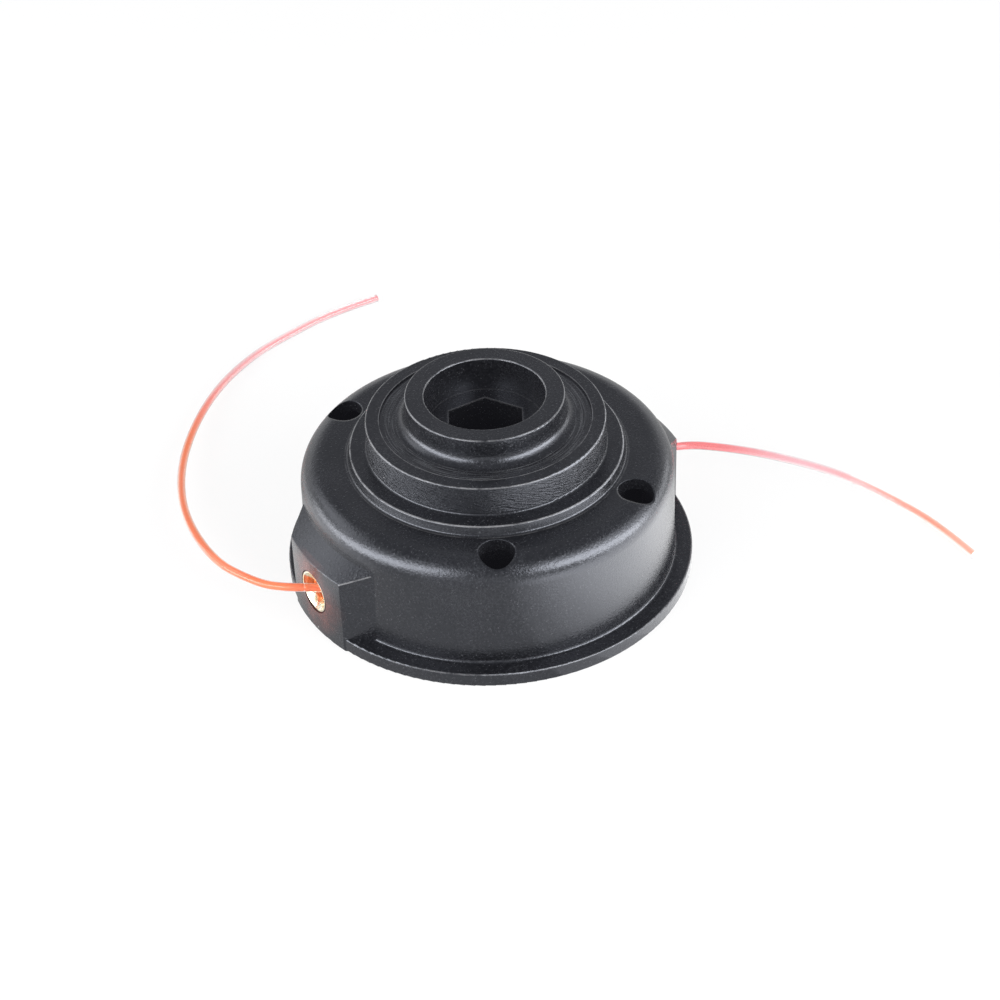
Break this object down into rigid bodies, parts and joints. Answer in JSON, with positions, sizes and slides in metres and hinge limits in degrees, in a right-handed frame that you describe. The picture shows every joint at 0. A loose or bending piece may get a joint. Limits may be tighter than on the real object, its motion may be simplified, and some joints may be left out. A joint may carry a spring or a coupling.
{
  "type": "trimmer head",
  "caption": "Round press-feed grass trimmer head: moulded drum with stepped hub and hexagonal drive socket, sprung spool, press knob and line out of brass eyelets.",
  "frame": {"origin": "centre of the flange's underside, on the drive axis", "axes": "+Z along the drive axis towards the hub, X through the two line eyelets"},
  "size_m": [0.1703, 0.1992, 0.0512],
  "materials": {
    "housing_nylon": "moulded black nylon, fine grain, semi-matte",
    "cover_nylon": "moulded black nylon, semi-matte",
    "spool_nylon": "moulded black nylon, semi-matte",
    "knob_nylon": "moulded black nylon, satin",
    "eyelet_brass": "turned brass, bright",
    "nut_steel": "zinc-plated steel",
    "washer_steel": "bright steel",
    "spring_steel": "spring steel wire",
    "line_nylon": "extruded nylon line, orange-red, slightly translucent"
  },
  "bodies": {
    "housing": {"housing": "housing_nylon", "eyelet_left": "eyelet_brass", "eyelet_right": "eyelet_brass", "drive_nut": "nut_steel", "cover": "cover_nylon", "spring": "spring_steel", "line_lead_left": "line_nylon", "line_lead_right": "line_nylon", "line_tail_left": "line_nylon", "line_tail_right": "line_nylon"},
    "knob": {"knob": "knob_nylon", "thrust_washer": "washer_steel"},
    "spool": {"spool": "spool_nylon", "line_winding_lower": "line_nylon", "line_winding_upper": "line_nylon"}
  },
  "joints": [
    {"name": "knob_press", "type": "slide", "parent": "housing", "child": "knob", "axis": [0, 0, 1], "range_m": [0, 0.004], "stiffness_N_per_m": 1500, "springref_m": -0.008, "deforming": ["spring", "line_lead_left", "line_lead_right"]},
    {"name": "spool_feed", "type": "hinge", "parent": "knob", "child": "spool", "pos_m": [0, 0, 0], "axis": [0, 0, 1], "range_deg": [-15, 0]}
  ],
  "couplings": [
    {"joint": "spool_feed", "follows": "knob_press", "rad_per_m": -65.45}
  ]
}
